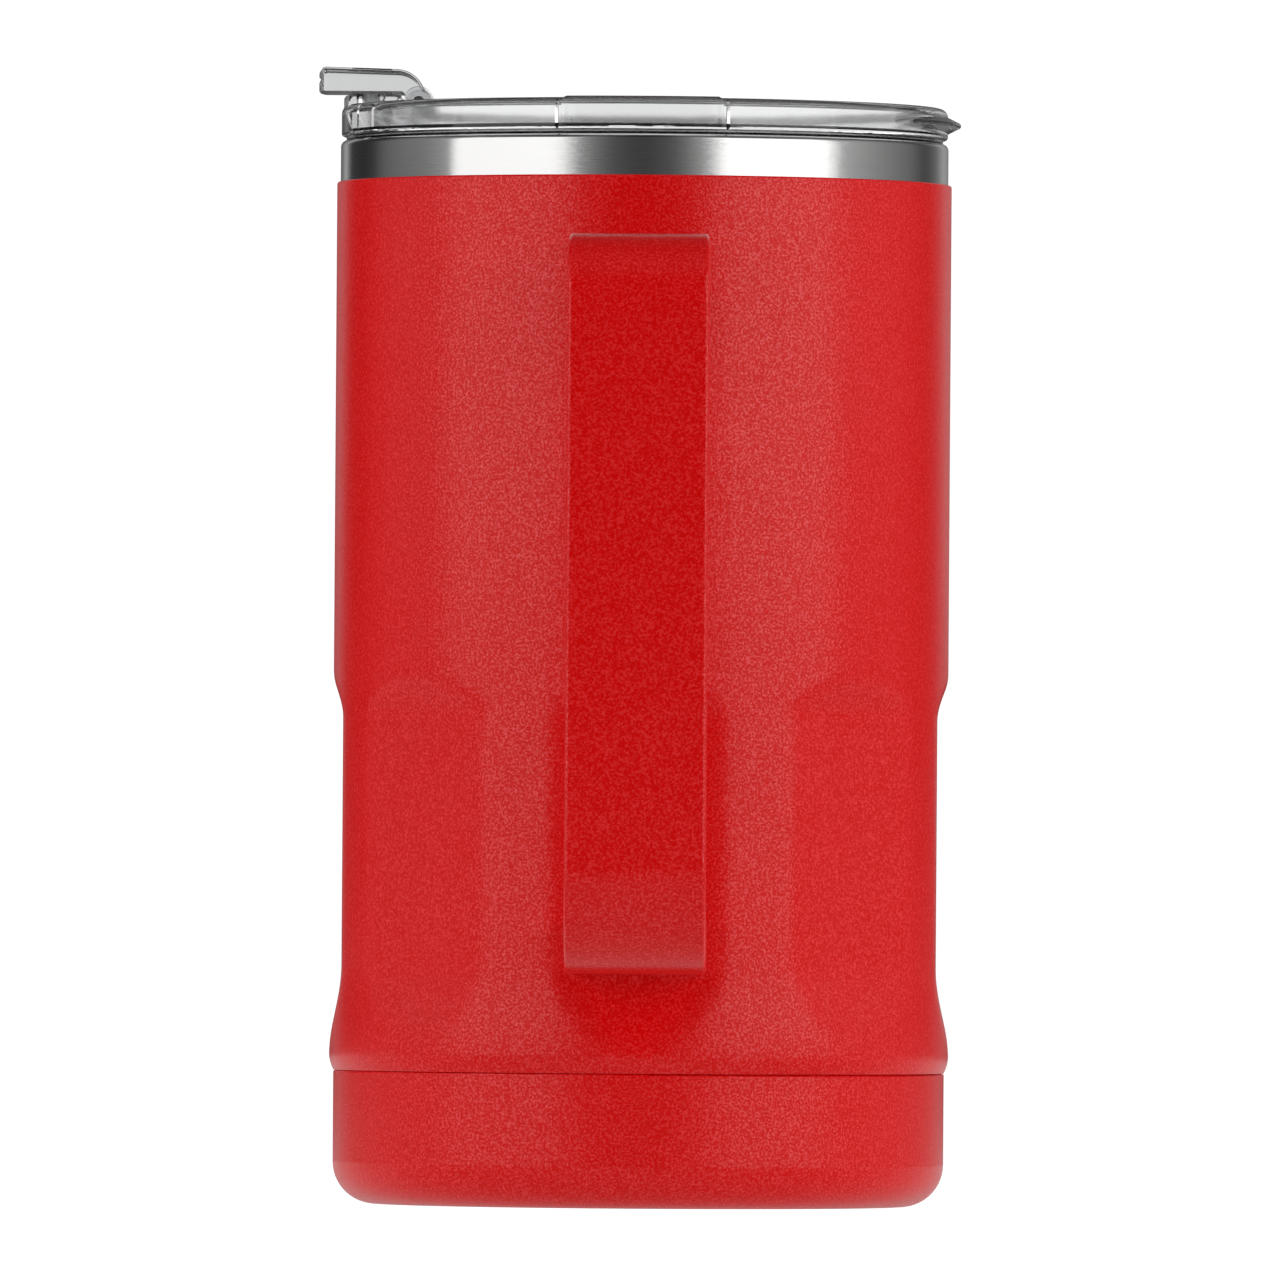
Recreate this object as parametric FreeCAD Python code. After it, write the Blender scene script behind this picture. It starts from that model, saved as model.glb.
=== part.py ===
import FreeCAD, Part
import math
import os

# Insulated travel mug: a double-wall vacuum body with eight flat grip facets, a welded hollow
# strap handle, a base cup, and a clear press-in lid with a flip closure over its spout.
# Millimetres. +Z up, z = 0 is the surface the mug stands on, and the body's axis is the Z axis.
# The handle is on the -Y side, the spout and its flip closure on -X, and the thumb tab on +X.

# ---- driving dimensions: body ----
body_radius = 44.5          # coated body, above and between the facets
rim_height = 153.8          # top of the steel rim
bare_band = 6.0             # height of uncoated steel under the rim
coat_step = 0.5             # how far the coated body stands outside the bare steel
steel_wall = 0.6            # outer shell
rim_round = 0.9             # outer edge of the rim
seam_height = 19.35         # underside of the body's shoulder, over the base cup
shoulder_round = 2.55       # height of the round under the bulge
shoulder_set_back = 0.3     # shoulder's lower edge inside the coated radius
bulge = 0.33                # how far the foot of the body swells outside the coated radius

# ---- driving dimensions: grip facets ----
facet_count = 8
facet_depth = 1.6           # deepest point of each flat, below the coated radius
facet_top = 79.5            # where a facet has run out at the top
facet_top_fade = 9.2
facet_low = 34.5            # where a facet starts to run out at the bottom
facet_low_fade = 15.5
crease_blend = 0.5          # softness of the crease round each facet
surface_columns = 48        # interpolation steps across one facet
surface_rows = 96           # interpolation steps up one facet

# ---- driving dimensions: liner and vacuum parts ----
mouth_radius = 41.2         # bore that the lid's gasket seals in
liner_radius = 39.6         # bore under the mouth
liner_taper = 0.9           # how much narrower the liner is at its base
liner_wall = 0.5
liner_floor = 12.0          # inside floor
liner_joint = 26.0          # weld between liner and liner base
liner_corner = 9.0
mouth_depth = 14.3          # straight bore under the rim
mouth_shoulder = 3.5        # height of the step under the mouth
neck_gap = 0.2              # glue gap between the shell's neck and the base cup
neck_low = 7.0              # lower edge of the shell's neck, where its base is welded
neck_lap = 4.0              # height of the welded lap
jacket_wall = 0.6
dimple_radius = 10.0
dimple_rise = 1.2
vent_bore = 0.8             # radius of the hole the body is evacuated through
bead_radius = 3.5
foil_gap = 0.3
foil_wall = 0.15
foil_margin = 8.0
getter_radius = 4.0
getter_height = 2.2
getter_place = 20.0
clip_wall = 0.3
clip_width = 5.0
clip_foot = 3.0

# ---- driving dimensions: base cup ----
cup_wall = 1.2
cup_corner = 6.1
seam_gap = 0.05             # between the body and the base cup
cup_lip_round = 0.3
pad_radius = 29.4
pad_thickness = 1.6
pad_gap = 0.4
pad_groove_radius = 20.0
pad_groove_width = 2.0
pad_groove_depth = 0.6

# ---- driving dimensions: handle ----
handle_width = 20.0
handle_depth = 7.5          # thickness of the hollow strap
handle_reach = 42.0         # from the coated body to the strap's outer face
handle_drop = 15.4          # from the rim down to the top of the handle
handle_low = 33.7
handle_top_bend = 10.0
handle_low_bend = 14.5
handle_wall = 1.0
handle_edge = 0.6           # rounding of the strap's outer edges
handle_fit = 0.05           # gap round the inner cover and the feet
foot_length = 9.0
foot_wall = 1.2

# ---- driving dimensions: lid ----
lid_seat_gap = 0.05         # between the lid's flange and the steel rim
flange_inset = 0.8          # flange edge inside the bare steel
flange_height = 0.55
lid_rim_height = 4.5
lid_rim_inset = 0.1         # lid rim inside the bare steel
lid_rim_round = 1.2
lid_rim_wall = 3.5
lid_edge = 0.4
deck_depth = 5.2            # from the top of the lid's rim down to its deck
deck_wall = 1.8
well_wall = 1.8             # wall of the deck's well, inside the plug
ledge_wall = 0.5            # ledge between the well and the rim
plug_depth = 11.3
plug_gap = 1.0              # between the plug's skirt and the mouth
plug_wall = 2.6
groove_depth = 1.2
groove_low = 3.2
groove_height = 5.0
gasket_clearance = 0.1      # between the gasket's fins and the mouth
gasket_fin = 0.4            # flat edge of a fin
weld_fit = 0.1              # deck in the plug
block_half_angle = 15.3     # raised blocks on the front and back of the rim
block_proud = 0.2
block_corner = 1.0          # rounding of the block's four corners
notch_angle = 16.2
notch_depth = 0.6
notch_half_width = 0.28
spout_notch_angle = 20.0
tab_reach = 2.4             # thumb tab, out from the lid's rim
tab_half_angle = 32.0
tab_rise = 2.1              # its edge, above the bottom of the lid's rim
vent_radius = 1.0
vent_inset = 6.5            # vent, inside the deck's edge

# ---- driving dimensions: spout, hinge and closure ----
spout_half_width = 8.5
spout_wall = 1.4            # between the sip slot and the spout's inner side
spout_foot_run = 3.0        # its sloped face, measured flat
spout_foot_height = 3.2
spout_inset = 0.3
spout_foot_cover = 0.9      # foot over the slanted passage
spout_rise = 1.45           # above the lid's rim
sip_inset = 4.3             # middle of the sip slot, inside the lid's rim
sip_half_length = 5.0
sip_half_width = 2.1
sip_pocket = 2.85           # straight depth that the stopper enters
passage_wall = 0.2          # deck left between the slanted passage and the plug
spill = 0.2                 # cuts run this far past a face
hinge_inset = 11.3          # hinge axis, inside the lid's rim
hinge_rise = 0.3            # hinge axis above the lid's rim
pin_radius = 0.8
pin_clearance = 0.05        # running fit of the closure on its pin
ear_radius = 2.2
ear_width = 2.0
ear_gap = 0.3
knuckle_radius = 1.9
closure_half_width = 9.0
closure_overhang = 3.3      # free end, outside the lid's rim
closure_seat = 0.4          # between the spout and the closure
closure_thickness = 3.5
closure_slope = 0.4
closure_bend = 4.3
closure_heel = 1.0          # back of the closure, behind the hinge axis
closure_edge = 0.5
grip_groove = 0.45          # finger groove across the free end
stopper_gap = 0.5
stopper_depth = 2.35
stopper_lip = 0.8

# ---- worked-out places ----
band_radius = body_radius - coat_step
cup_radius = body_radius - shoulder_set_back
neck_radius = cup_radius - cup_wall - neck_gap
shell_wall = steel_wall + coat_step
facet_distance_deep = body_radius - facet_depth
lip_radius = band_radius - rim_round
liner_low_radius = liner_radius - liner_taper
jacket_floor = neck_low + jacket_wall
flange_low = rim_height + lid_seat_gap
lid_rim_low = flange_low + flange_height
lid_rim_top = lid_rim_low + lid_rim_height
lid_rim_radius = band_radius - lid_rim_inset
deck_top = lid_rim_top - deck_depth
ledge_top = lid_rim_low + ledge_wall
plug_radius = mouth_radius - plug_gap
plug_bore = plug_radius - plug_wall
deck_radius = plug_bore - weld_fit
plug_low = flange_low - plug_depth
groove_z = plug_low + groove_low
spout_top = lid_rim_top + spout_rise
closure_low = spout_top + closure_seat
hinge_z = lid_rim_top + hinge_rise
vent_place = deck_radius - vent_inset
hinge_place = lid_rim_radius - hinge_inset
closure_reach = lid_rim_radius + closure_overhang
sip_place = lid_rim_radius - sip_inset
spout_inner = sip_place - sip_half_width - spout_wall
pocket_floor = spout_top - sip_pocket
passage_low = deck_top - deck_wall - spill
passage_outer = sip_place + sip_half_width + passage_wall
passage_lean = (passage_outer - deck_radius) / (pocket_floor - lid_rim_low)
foot_reach = sip_place - sip_half_width - passage_lean * (pocket_floor - deck_top)
spout_foot = foot_reach - spout_foot_cover
z_axis = FreeCAD.Vector(0, 0, 1)
origin = FreeCAD.Vector(0, 0, 0)


# ---- outlines ----
def on_xz(u, v):
    """Place an outline point in the XZ plane."""
    return FreeCAD.Vector(u, 0, v)


def on_yz(u, v):
    """Place an outline point in the YZ plane, with u measured out along -Y."""
    return FreeCAD.Vector(0, -u, v)


def on_xy(u, v):
    """Place an outline point in the XY plane."""
    return FreeCAD.Vector(u, v, 0)


def corner_arc(before, corner, after, radius):
    """Return the start, middle and end of the arc that rounds a corner."""
    back = (before - corner).normalize()
    ahead = (after - corner).normalize()
    half_angle = back.getAngle(ahead) / 2
    reach = radius / math.tan(half_angle)
    middle_line = (back + ahead).normalize()
    middle = corner + middle_line * (radius / math.sin(half_angle) - radius)
    return corner + back * reach, middle, corner + ahead * reach


def rounded_edges(corners, place, closed):
    """Join corners, each (u, v) or (u, v, radius), with lines and tangent arcs."""
    points = [place(corner[0], corner[1]) for corner in corners]
    radii = [corner[2] if len(corner) > 2 else 0 for corner in corners]
    count = len(points)
    stops = []
    for index, point in enumerate(points):
        at_end = not closed and index in (0, count - 1)
        if radii[index] > 0 and not at_end:
            stops.append(corner_arc(points[index - 1], point, points[(index + 1) % count], radii[index]))
        else:
            stops.append((point,))
    edges = []
    for index, stop in enumerate(stops):
        if len(stop) == 3:
            edges.append(Part.Arc(*stop).toShape())
        if index == count - 1 and not closed:
            break
        following = stops[(index + 1) % count][0]
        if stop[-1].distanceToPoint(following) > 1e-6:
            edges.append(Part.LineSegment(stop[-1], following).toShape())
    return edges


def outline_face(corners, place=on_xz):
    """Return the face inside a closed, rounded outline."""
    return Part.Face(Part.Wire(rounded_edges(corners, place, True)))


def offset_path(path, distance):
    """Shift an open path to the left of its direction of travel, keeping its walls parallel."""
    points = [FreeCAD.Vector(corner[0], corner[1], 0) for corner in path]
    steps = [(after - before).normalize() for before, after in zip(points, points[1:])]
    lefts = [FreeCAD.Vector(-step.y, step.x, 0) for step in steps]
    shifted = []
    for index, point in enumerate(points):
        first = lefts[max(index - 1, 0)]
        second = lefts[min(index, len(lefts) - 1)]
        moved = point + (first + second) * (distance / (1 + first.dot(second)))
        radius = path[index][2] if len(path[index]) > 2 else 0
        turn = first.cross(second).z
        if radius > 0 and turn != 0:
            radius = max(radius - math.copysign(distance, turn), 0)
        shifted.append((moved.x, moved.y, radius))
    return shifted


def sheet_outline(path, wall):
    """Close a path into the outline of a sheet with its wall to the left of the path."""
    return path + offset_path(path, wall)[::-1]


def revolved(face, angle=360):
    """Turn a section round the body's axis."""
    return face.revolve(origin, z_axis, angle)


def sheet_of_revolution(path, wall):
    """Return a sheet-metal piece turned from one path and one wall."""
    return revolved(outline_face(sheet_outline(path, wall)))


def disc(radius, low, high, x=0.0, y=0.0):
    """Return an upright cylinder between two heights."""
    return Part.makeCylinder(radius, high - low, FreeCAD.Vector(x, y, low))


def box(x_low, x_high, y_low, y_high, z_low, z_high):
    """Return a box from its low and high sides."""
    corner = FreeCAD.Vector(x_low, y_low, z_low)
    return Part.makeBox(x_high - x_low, y_high - y_low, z_high - z_low, corner)


def across(face, half_width, direction):
    """Extrude a face by the same distance each way along a direction."""
    return face.translated(direction * -half_width).extrude(direction * (2 * half_width))


def turned(shape, angle):
    """Return a copy turned round the body's axis."""
    copy = shape.copy()
    copy.rotate(origin, z_axis, angle)
    return copy


# ---- the faceted body surface ----
def ease(amount):
    """Run smoothly from 0 to 1, and stay there outside that range."""
    amount = min(max(amount, 0.0), 1.0)
    return amount * amount * (3 - 2 * amount)


def plain_radius(z):
    """Radius of the body between its facets."""
    widest = seam_height + shoulder_round
    swell = bulge * ease((facet_low - z) / (facet_low - widest))
    under = max(widest - z, 0) / shoulder_round
    return body_radius + swell - (bulge + shoulder_set_back) * under ** 2


def facet_distance(z):
    """Distance of a facet's flat from the body's axis."""
    clear = facet_depth + bulge + crease_blend
    top_run = ease((z - facet_top + facet_top_fade) / facet_top_fade)
    low_run = ease((facet_low - z) / facet_low_fade)
    return facet_distance_deep + clear * max(top_run, low_run)


def surface_radius(angle, z):
    """Radius of the coated surface: the smaller of body and facet, with a soft crease."""
    round_part = plain_radius(z)
    flat_part = facet_distance(z) / math.cos(angle)
    share = min(max(0.5 + (round_part - flat_part) / (2 * crease_blend), 0.0), 1.0)
    mixed = flat_part * share + round_part * (1 - share)
    return mixed - crease_blend * share * (1 - share)


def surface_patch(inset, low, high):
    """Return one facet's share of the body surface, moved inward by an inset."""
    half_pitch = math.pi / facet_count
    grid = []
    for column in range(surface_columns + 1):
        angle = half_pitch * (2 * column / surface_columns - 1)
        line = []
        for row in range(surface_rows + 1):
            z = low + (high - low) * row / surface_rows
            radius = surface_radius(angle, z) - inset
            line.append(FreeCAD.Vector(radius * math.cos(angle), radius * math.sin(angle), z))
        grid.append(line)
    surface = Part.BSplineSurface()
    surface.interpolate(grid)
    return surface.toShape()


def sector_strip(path):
    """Turn an open path through one facet's share of the circle."""
    pitch = 360 / facet_count
    strip = Part.Wire(rounded_edges(path, on_xz, False)).revolve(origin, z_axis, pitch)
    return turned(strip, -pitch / 2).Faces


def outer_shell():
    """Outer steel shell with its coat: neck, shoulder, facets, plain body and bare rim."""
    step_high = seam_height + 1.2
    body_high = rim_height - bare_band
    inside_low = plain_radius(step_high) - shell_wall
    neck_bore = neck_radius - steel_wall
    band_bore = band_radius - steel_wall
    inner_round = rim_round - steel_wall
    upper = [(body_radius - shell_wall, facet_top), (band_bore, rim_height - steel_wall, inner_round)]
    upper += [(lip_radius, rim_height - steel_wall), (lip_radius, rim_height)]
    upper += [(band_radius, rim_height, rim_round), (band_radius, body_high)]
    upper += [(body_radius, body_high, 0.35), (body_radius, facet_top)]
    lower = [(plain_radius(seam_height), seam_height), (neck_radius, seam_height)]
    lower += [(neck_radius, neck_low), (neck_bore, neck_low)]
    lower += [(neck_bore, step_high), (inside_low, step_high)]
    sector = [surface_patch(0, seam_height, facet_top)]
    sector.append(surface_patch(shell_wall, step_high, facet_top))
    sector += sector_strip(upper) + sector_strip(lower)
    faces = [turned(face, 360 * index / facet_count) for index in range(facet_count) for face in sector]
    skin = Part.Compound(faces)
    skin.sewShape(0.005)
    solid = Part.Solid(skin.Shells[0])
    if solid.Volume < 0:
        solid.reverse()
    return solid


# ---- vacuum body ----
def inner_liner():
    """Drawn steel liner with its lip rolled out to the shell's rim."""
    shoulder = rim_height - mouth_depth
    path = [(lip_radius, rim_height), (mouth_radius, rim_height, 1.2), (mouth_radius, shoulder, 2.0)]
    path += [(liner_radius, shoulder - mouth_shoulder, 3.0), (liner_low_radius, liner_joint)]
    return sheet_of_revolution(path, liner_wall)


def liner_base():
    """Pressed floor of the liner, butt-welded to its wall."""
    path = [(liner_low_radius, liner_joint), (liner_low_radius, liner_floor, liner_corner)]
    path += [(0, liner_floor)]
    return sheet_of_revolution(path, liner_wall)


def heat_foil():
    """Thin copper foil wrapped round the liner, inside the vacuum."""
    low = liner_joint + foil_margin
    high = rim_height - mouth_depth - mouth_shoulder - foil_margin
    run = rim_height - mouth_depth - mouth_shoulder - liner_joint
    skin = liner_low_radius + liner_wall + foil_gap
    low_radius = skin + liner_taper * (low - liner_joint) / run
    high_radius = skin + liner_taper * (high - liner_joint) / run
    return sheet_of_revolution([(high_radius, high), (low_radius, low)], foil_wall)


def jacket_base():
    """Steel floor of the outer shell, with the dimple and hole it is evacuated through."""
    bore = neck_radius - steel_wall
    dimple_top = neck_low + dimple_rise
    path = [(0, dimple_top), (dimple_radius, dimple_top, 0.8), (dimple_radius + 2, neck_low, 0.8)]
    path += [(bore, neck_low, 2.0), (bore, neck_low + neck_lap)]
    floor = sheet_of_revolution(path, jacket_wall)
    return floor.cut(disc(vent_bore, neck_low - 1, neck_low + 5))


def vacuum_seal():
    """Solder-glass button that closes the evacuation hole from below."""
    high = neck_low + dimple_rise
    low = neck_low + 0.2
    return revolved(outline_face([(0, low), (bead_radius, low, 0.4), (bead_radius, high), (0, high)]))


def getter():
    """Gas-absorbing pill on the shell's floor, inside the vacuum."""
    top = jacket_floor + getter_height
    pill = disc(getter_radius, jacket_floor, top, getter_place)
    return pill.makeChamfer(0.3, pill.Edges)


def getter_clip():
    """Spring strap, spot-welded at both ends, that holds the getter down."""
    start = getter_place - getter_radius
    end = getter_place + getter_radius
    top = jacket_floor + getter_height
    path = [(start - clip_foot, jacket_floor), (start, jacket_floor), (start, top, 0.3)]
    path += [(end, top, 0.3), (end, jacket_floor), (end + clip_foot, jacket_floor)]
    strap = outline_face(sheet_outline(path, clip_wall))
    return across(strap, clip_width / 2, FreeCAD.Vector(0, 1, 0))


# ---- base ----
def base_cup():
    """Coated cup glued over the shell's neck, with a recess for the foot pad."""
    recess = pad_radius + pad_gap
    path = [(0, pad_thickness), (recess, pad_thickness, 0.4), (recess + 0.6, 0, 0.4)]
    path += [(cup_radius, 0, cup_corner), (cup_radius, seam_height - seam_gap, cup_lip_round)]
    return sheet_of_revolution(path, cup_wall)


def foot_pad():
    """Non-slip pad in the base cup's recess, flush with its standing ring."""
    groove_end = pad_groove_radius + pad_groove_width
    section = [(0, 0), (pad_groove_radius, 0, 0.2), (pad_groove_radius, pad_groove_depth, 0.2)]
    section += [(groove_end, pad_groove_depth, 0.2), (groove_end, 0, 0.2), (pad_radius, 0, 0.4)]
    section += [(pad_radius, pad_thickness), (0, pad_thickness)]
    return revolved(outline_face(section))


# ---- handle ----
def handle_path():
    """Outer face of the strap, from its lower end out, up and back to the body."""
    start = facet_distance_deep - 4.0
    out = body_radius + handle_reach
    top = rim_height - handle_drop
    path = [(start, handle_low), (out, handle_low, handle_low_bend)]
    return path + [(out, top, handle_top_bend), (start, top)]


def strap(outer_inset, inner_inset, half_width):
    """Return the part of the strap between two insets from its outer face."""
    near = offset_path(handle_path(), outer_inset)
    far = offset_path(handle_path(), inner_inset)
    return across(outline_face(near + far[::-1], on_yz), half_width, FreeCAD.Vector(1, 0, 0))


def body_block(clearance=0.0):
    """Space the body takes up where the handle's ends meet it."""
    radius = body_radius + clearance
    flat = facet_distance_deep + clearance
    round_part = disc(radius, facet_top, rim_height)
    low_part = disc(radius, 0, facet_top)
    return round_part.fuse(low_part.common(box(-radius, radius, -flat, radius, 0, facet_top)))


def lengthwise_edges(solid, side_x, outward):
    """Return the strap's edges on its sides, along its outer or its inner face."""
    middle = body_radius + handle_reach - handle_depth / 2
    top = rim_height - handle_drop - handle_depth / 2
    low = handle_low + handle_depth / 2
    chosen = []
    for edge in solid.Edges:
        centre = edge.CenterOfMass
        on_side = abs(abs(centre.x) - side_x) < 1e-6 and len(edge.Vertexes) == 2
        along = min(abs(vertex.Point.x) for vertex in edge.Vertexes) > side_x - 1e-6
        outside = -centre.y > middle or centre.z > top or centre.z < low
        at_body = max(vertex.Point.y for vertex in edge.Vertexes) > -facet_distance_deep
        both_at_body = at_body and min(vertex.Point.y for vertex in edge.Vertexes) > -facet_distance_deep
        if on_side and along and outside == outward and not both_at_body:
            chosen.append(edge)
    return chosen


def handle_outer():
    """Pressed channel that makes the strap's outer face and its two sides."""
    half = handle_width / 2
    blank = strap(0, handle_depth, half)
    blank = blank.makeFillet(handle_edge, lengthwise_edges(blank, half, True))
    cavity = strap(handle_wall, handle_depth + 2, half - handle_wall)
    return blank.cut(cavity).cut(body_block())


def handle_inner():
    """Cover strip set between the channel's sides, towards the fingers."""
    half = handle_width / 2 - handle_wall - handle_fit
    cover = strap(handle_depth - handle_wall, handle_depth, half)
    return cover.cut(body_block())


def handle_foot(low):
    """Welded bracket inside one end of the strap: a floor on the body and four sides."""
    gap = handle_wall + handle_fit
    half = handle_width / 2 - gap
    top = low + handle_depth - gap
    end = body_radius + foot_length
    blank = box(-half, half, -end, 0, low + gap, top)
    hollow = box(-half + foot_wall, half - foot_wall, -end, 0, low + gap + foot_wall, top - foot_wall)
    return blank.cut(body_block()).cut(hollow.cut(body_block(foot_wall)))


# ---- lid ----
def lid_ring(inner, outer, low, high, edge):
    """Return a ring with its outer upper and lower edges rounded."""
    section = [(inner, low), (outer, low, edge), (outer, high, edge), (inner, high)]
    return revolved(outline_face(section))


def rim_block(angle):
    """Raised block on the lid's rim, with its ends rounded over."""
    inner = lid_rim_radius - lid_rim_wall + 0.6
    outer = lid_rim_radius + block_proud
    top = lid_rim_top + block_proud
    section = [(inner, ledge_top), (inner, top, 0.5), (outer, top, lid_rim_round)]
    section += [(outer, lid_rim_low, lid_edge), (inner + 1, lid_rim_low)]
    block = turned(revolved(outline_face(section), 2 * block_half_angle), -90 - block_half_angle)
    half = outer * math.sin(math.radians(block_half_angle))
    front = [(-half, lid_rim_low, block_corner), (half, lid_rim_low, block_corner)]
    front += [(half, top, block_corner), (-half, top, block_corner)]
    window = outline_face(front).extrude(FreeCAD.Vector(0, -outer - 1, 0))
    return turned(block.common(window), angle + 90)


def rim_notch(angle):
    """Upright V groove cut in the lid's rim."""
    outer = lid_rim_radius + block_proud + 0.3
    tip = lid_rim_radius - notch_depth
    half = notch_half_width * (outer - tip) / notch_depth
    wedge = outline_face([(tip, 0), (outer, -half), (outer, half)], on_xy)
    wedge = wedge.translated(FreeCAD.Vector(0, 0, lid_rim_low - 1))
    return turned(wedge.extrude(z_axis * (lid_rim_height + 3)), angle)


def thumb_tab():
    """Crescent tab with a wedge section, to lift the lid by."""
    tip = lid_rim_radius + tab_reach
    half = math.radians(tab_half_angle)
    root_x = lid_rim_radius * math.cos(half)
    root_y = lid_rim_radius * math.sin(half)
    centre_x = (tip ** 2 - root_x ** 2 - root_y ** 2) / (2 * (tip - root_x))
    sweep = tip - centre_x
    edge_z = lid_rim_low + tab_rise
    section = [(sweep - 5, edge_z + 2.5), (sweep, edge_z, 0.4), (sweep - 5, edge_z - 2.5)]
    crescent = outline_face(section).revolve(origin, z_axis, 360)
    crescent.translate(FreeCAD.Vector(centre_x, 0, 0))
    low = lid_rim_low + 0.3
    keep = box(root_x - 1, tip + 1, -root_y - 2, root_y + 2, low, lid_rim_top - 0.5)
    return crescent.common(keep).cut(disc(lid_rim_radius - 1.2, low - 5, lid_rim_top + 5))


def spout_block():
    """Raised lip that is drunk from, with a low foot that the slanted passage runs through."""
    outer = lid_rim_radius - spout_inset
    step = deck_radius - 0.5
    foot_top = deck_top + spout_foot_height
    section = [(spout_foot, deck_top - 0.2), (spout_foot + spout_foot_run, foot_top, 0.3)]
    section += [(spout_inner, foot_top, 0.3), (spout_inner, spout_top, 0.4)]
    section += [(outer, spout_top, 0.7), (outer, lid_rim_low + 1)]
    section += [(outer - 3, lid_rim_low + 0.2), (step, lid_rim_low + 0.2), (step, deck_top - 0.2)]
    ring = revolved(outline_face(section))
    half = spout_half_width
    return ring.common(box(-lid_rim_radius, 0, -half, half, deck_top - 1, spout_top + 1))


def slot_face(x, half_length, half_width, z):
    """Return a slot with round ends, its length along Y."""
    r = half_width - 0.001
    corners = [(x - half_width, -half_length, r), (x + half_width, -half_length, r)]
    corners += [(x + half_width, half_length, r), (x - half_width, half_length, r)]
    return outline_face(corners, on_xy).translated(FreeCAD.Vector(0, 0, z))


def sip_passage():
    """Straight pocket for the stopper, and the slanted passage from it to the drink."""
    pocket = slot_face(-sip_place, sip_half_length, sip_half_width, pocket_floor)
    drop = pocket_floor - passage_low
    run = FreeCAD.Vector(passage_lean * drop, 0, -drop)
    return pocket.extrude(z_axis * (sip_pocket + 1)).fuse(pocket.extrude(run))


def hinge_ear(side):
    """One of the two ears that hold the hinge pin."""
    low = closure_half_width + ear_gap
    left = -hinge_place - ear_radius
    right = -hinge_place + ear_radius
    top = hinge_z + ear_radius
    r = ear_radius - 0.001
    face = outline_face([(left, deck_top - 0.3), (right, deck_top - 0.3), (right, top, r), (left, top, r)])
    start = low if side > 0 else -low - ear_width
    return face.translated(FreeCAD.Vector(0, start, 0)).extrude(FreeCAD.Vector(0, ear_width, 0))


def pin_solid(radius, half_length):
    """Return a rod on the hinge axis."""
    start = FreeCAD.Vector(-hinge_place, -half_length, hinge_z)
    return Part.makeCylinder(radius, 2 * half_length, start, FreeCAD.Vector(0, 1, 0))


def plug_space():
    """Ring under the rim that belongs to the plug."""
    low = deck_top - deck_wall - 1
    return disc(body_radius + 1, low, lid_rim_low).cut(disc(deck_radius, low - 1, lid_rim_low + 1))


def lid_cover():
    """Clear upper moulding: rim, deck, spout, hinge ears, thumb tab, blocks and notches."""
    inner = lid_rim_radius - lid_rim_wall
    well = deck_radius - well_wall
    section = [(0, deck_top - deck_wall), (deck_radius, deck_top - deck_wall, 0.3)]
    section += [(deck_radius, lid_rim_low), (lid_rim_radius, lid_rim_low, lid_edge)]
    section += [(lid_rim_radius, lid_rim_top, lid_rim_round), (inner, lid_rim_top, 0.6)]
    section += [(inner, ledge_top, 0.4), (well, ledge_top, 0.4), (well, deck_top, 0.8), (0, deck_top)]
    cover = revolved(outline_face(section))
    for angle in (-90, 90):
        cover = cover.fuse(rim_block(angle))
    cover = cover.fuse(thumb_tab()).fuse(spout_block())
    cover = cover.fuse(hinge_ear(1)).fuse(hinge_ear(-1))
    angles = [base + side * notch_angle for base in (-90, 90) for side in (-1, 1)]
    angles += [180 - spout_notch_angle, 180 + spout_notch_angle]
    for angle in angles:
        cover = cover.cut(rim_notch(angle))
    cover = cover.cut(sip_passage()).cut(plug_space())
    cover = cover.cut(pin_solid(pin_radius, closure_half_width + ear_gap + ear_width + 1))
    vent = disc(vent_radius, deck_top - deck_wall - 1, deck_top + 1, vent_place)
    return cover.cut(vent).removeSplitter()


def lid_plug():
    """Clear lower moulding: flange on the steel rim and grooved skirt in the mouth."""
    floor = plug_radius - groove_depth
    section = [(plug_bore, plug_low, 0.8), (plug_radius, plug_low, 0.8), (plug_radius, groove_z)]
    section += [(floor, groove_z), (floor, groove_z + groove_height)]
    section += [(plug_radius, groove_z + groove_height), (plug_radius, flange_low)]
    section += [(band_radius - flange_inset, flange_low, 0.2)]
    section += [(band_radius - flange_inset, lid_rim_low), (plug_bore, lid_rim_low)]
    return revolved(outline_face(section))


def lid_gasket():
    """Silicone ring with two fins, stretched into the plug's groove."""
    floor = plug_radius - groove_depth
    tip = mouth_radius - gasket_clearance
    root = plug_radius + 0.1
    top = groove_z + groove_height - 0.1
    corners = [(floor, groove_z + 0.1), (root, groove_z + 0.1)]
    for fin in (0.9, 3.0):
        corners += [(root, groove_z + fin), (tip, groove_z + fin + 0.6)]
        corners += [(tip, groove_z + fin + 0.6 + gasket_fin), (root, groove_z + fin + 1.1)]
    return revolved(outline_face(corners + [(root, top), (floor, top)]))


def hinge_pin():
    """Steel pin pressed in the two ears."""
    return pin_solid(pin_radius, closure_half_width + ear_gap + ear_width)


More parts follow.
